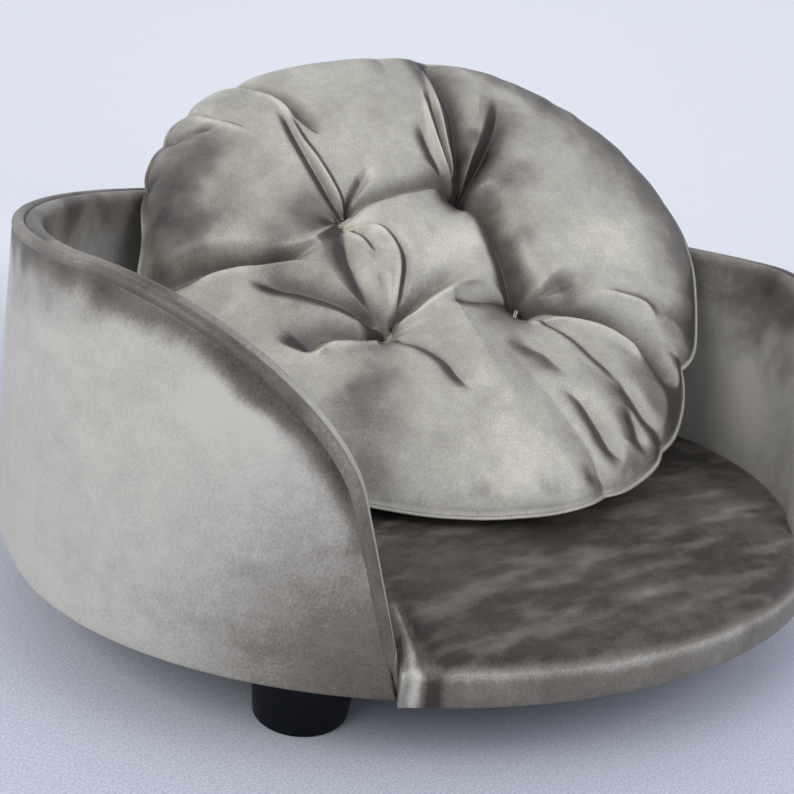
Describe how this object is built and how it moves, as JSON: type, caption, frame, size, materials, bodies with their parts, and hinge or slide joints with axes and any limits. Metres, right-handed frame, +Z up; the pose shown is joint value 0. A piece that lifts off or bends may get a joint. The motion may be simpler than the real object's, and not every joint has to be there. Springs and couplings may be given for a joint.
{
  "type": "dog sofa bed",
  "caption": "Round velvet dog sofa bed on short black feet: low padded platform, piped curved wall with swept arms, and a loose round tufted cushion leaning inside.",
  "frame": {"origin": "on the floor under the middle of the sofa's footprint", "axes": "+X to the sofa's right as the viewer in front sees it, +Y to the back, +Z up; the open front faces -Y"},
  "size_m": [0.5998, 0.5529, 0.3684],
  "materials": {
    "sofa_velvet": "short-pile velvet, warm grey",
    "cushion_velvet": "short-pile velvet, warm grey",
    "foam": "open-cell foam",
    "fibre_fill": "polyester fibre filling",
    "dust_cloth": "black non-woven cloth",
    "plywood": "bare plywood",
    "black_plastic": "fine matt moulding",
    "thread": "waxed thread",
    "steel": "zinc plated"
  },
  "bodies": {
    "sofa": {"base_board": "plywood", "base_foam": "foam", "base_cover": "sofa_velvet", "dust_cover": "dust_cloth", "wall_board": "plywood", "outer_foam": "foam", "inner_foam": "foam", "outer_cover": "sofa_velvet", "inner_cover": "sofa_velvet", "rim_piping": "sofa_velvet", "front_left_foot": "black_plastic", "front_right_foot": "black_plastic", "back_left_foot": "black_plastic", "back_right_foot": "black_plastic", "front_left_foot_bolt": "steel", "front_right_foot_bolt": "steel", "back_left_foot_bolt": "steel", "back_right_foot_bolt": "steel", "front_left_tee_nut": "steel", "front_right_tee_nut": "steel", "back_left_tee_nut": "steel", "back_right_tee_nut": "steel", "wall_screw_1": "steel", "wall_screw_2": "steel", "wall_screw_3": "steel", "wall_screw_4": "steel", "wall_screw_5": "steel", "wall_screw_6": "steel", "wall_screw_7": "steel", "wall_screw_8": "steel", "wall_screw_9": "steel"},
    "cushion": {"cushion_cover": "cushion_velvet", "cushion_fill": "fibre_fill", "tuft_thread_1": "thread", "tuft_thread_2": "thread", "tuft_thread_3": "thread", "tuft_thread_4": "thread"}
  },
  "joints": [
    {"name": "cushion_lift", "type": "slide", "parent": "sofa", "child": "cushion", "axis": [-0.2538, -0.4308, 0.866], "range_m": [0, 0.35]}
  ]
}
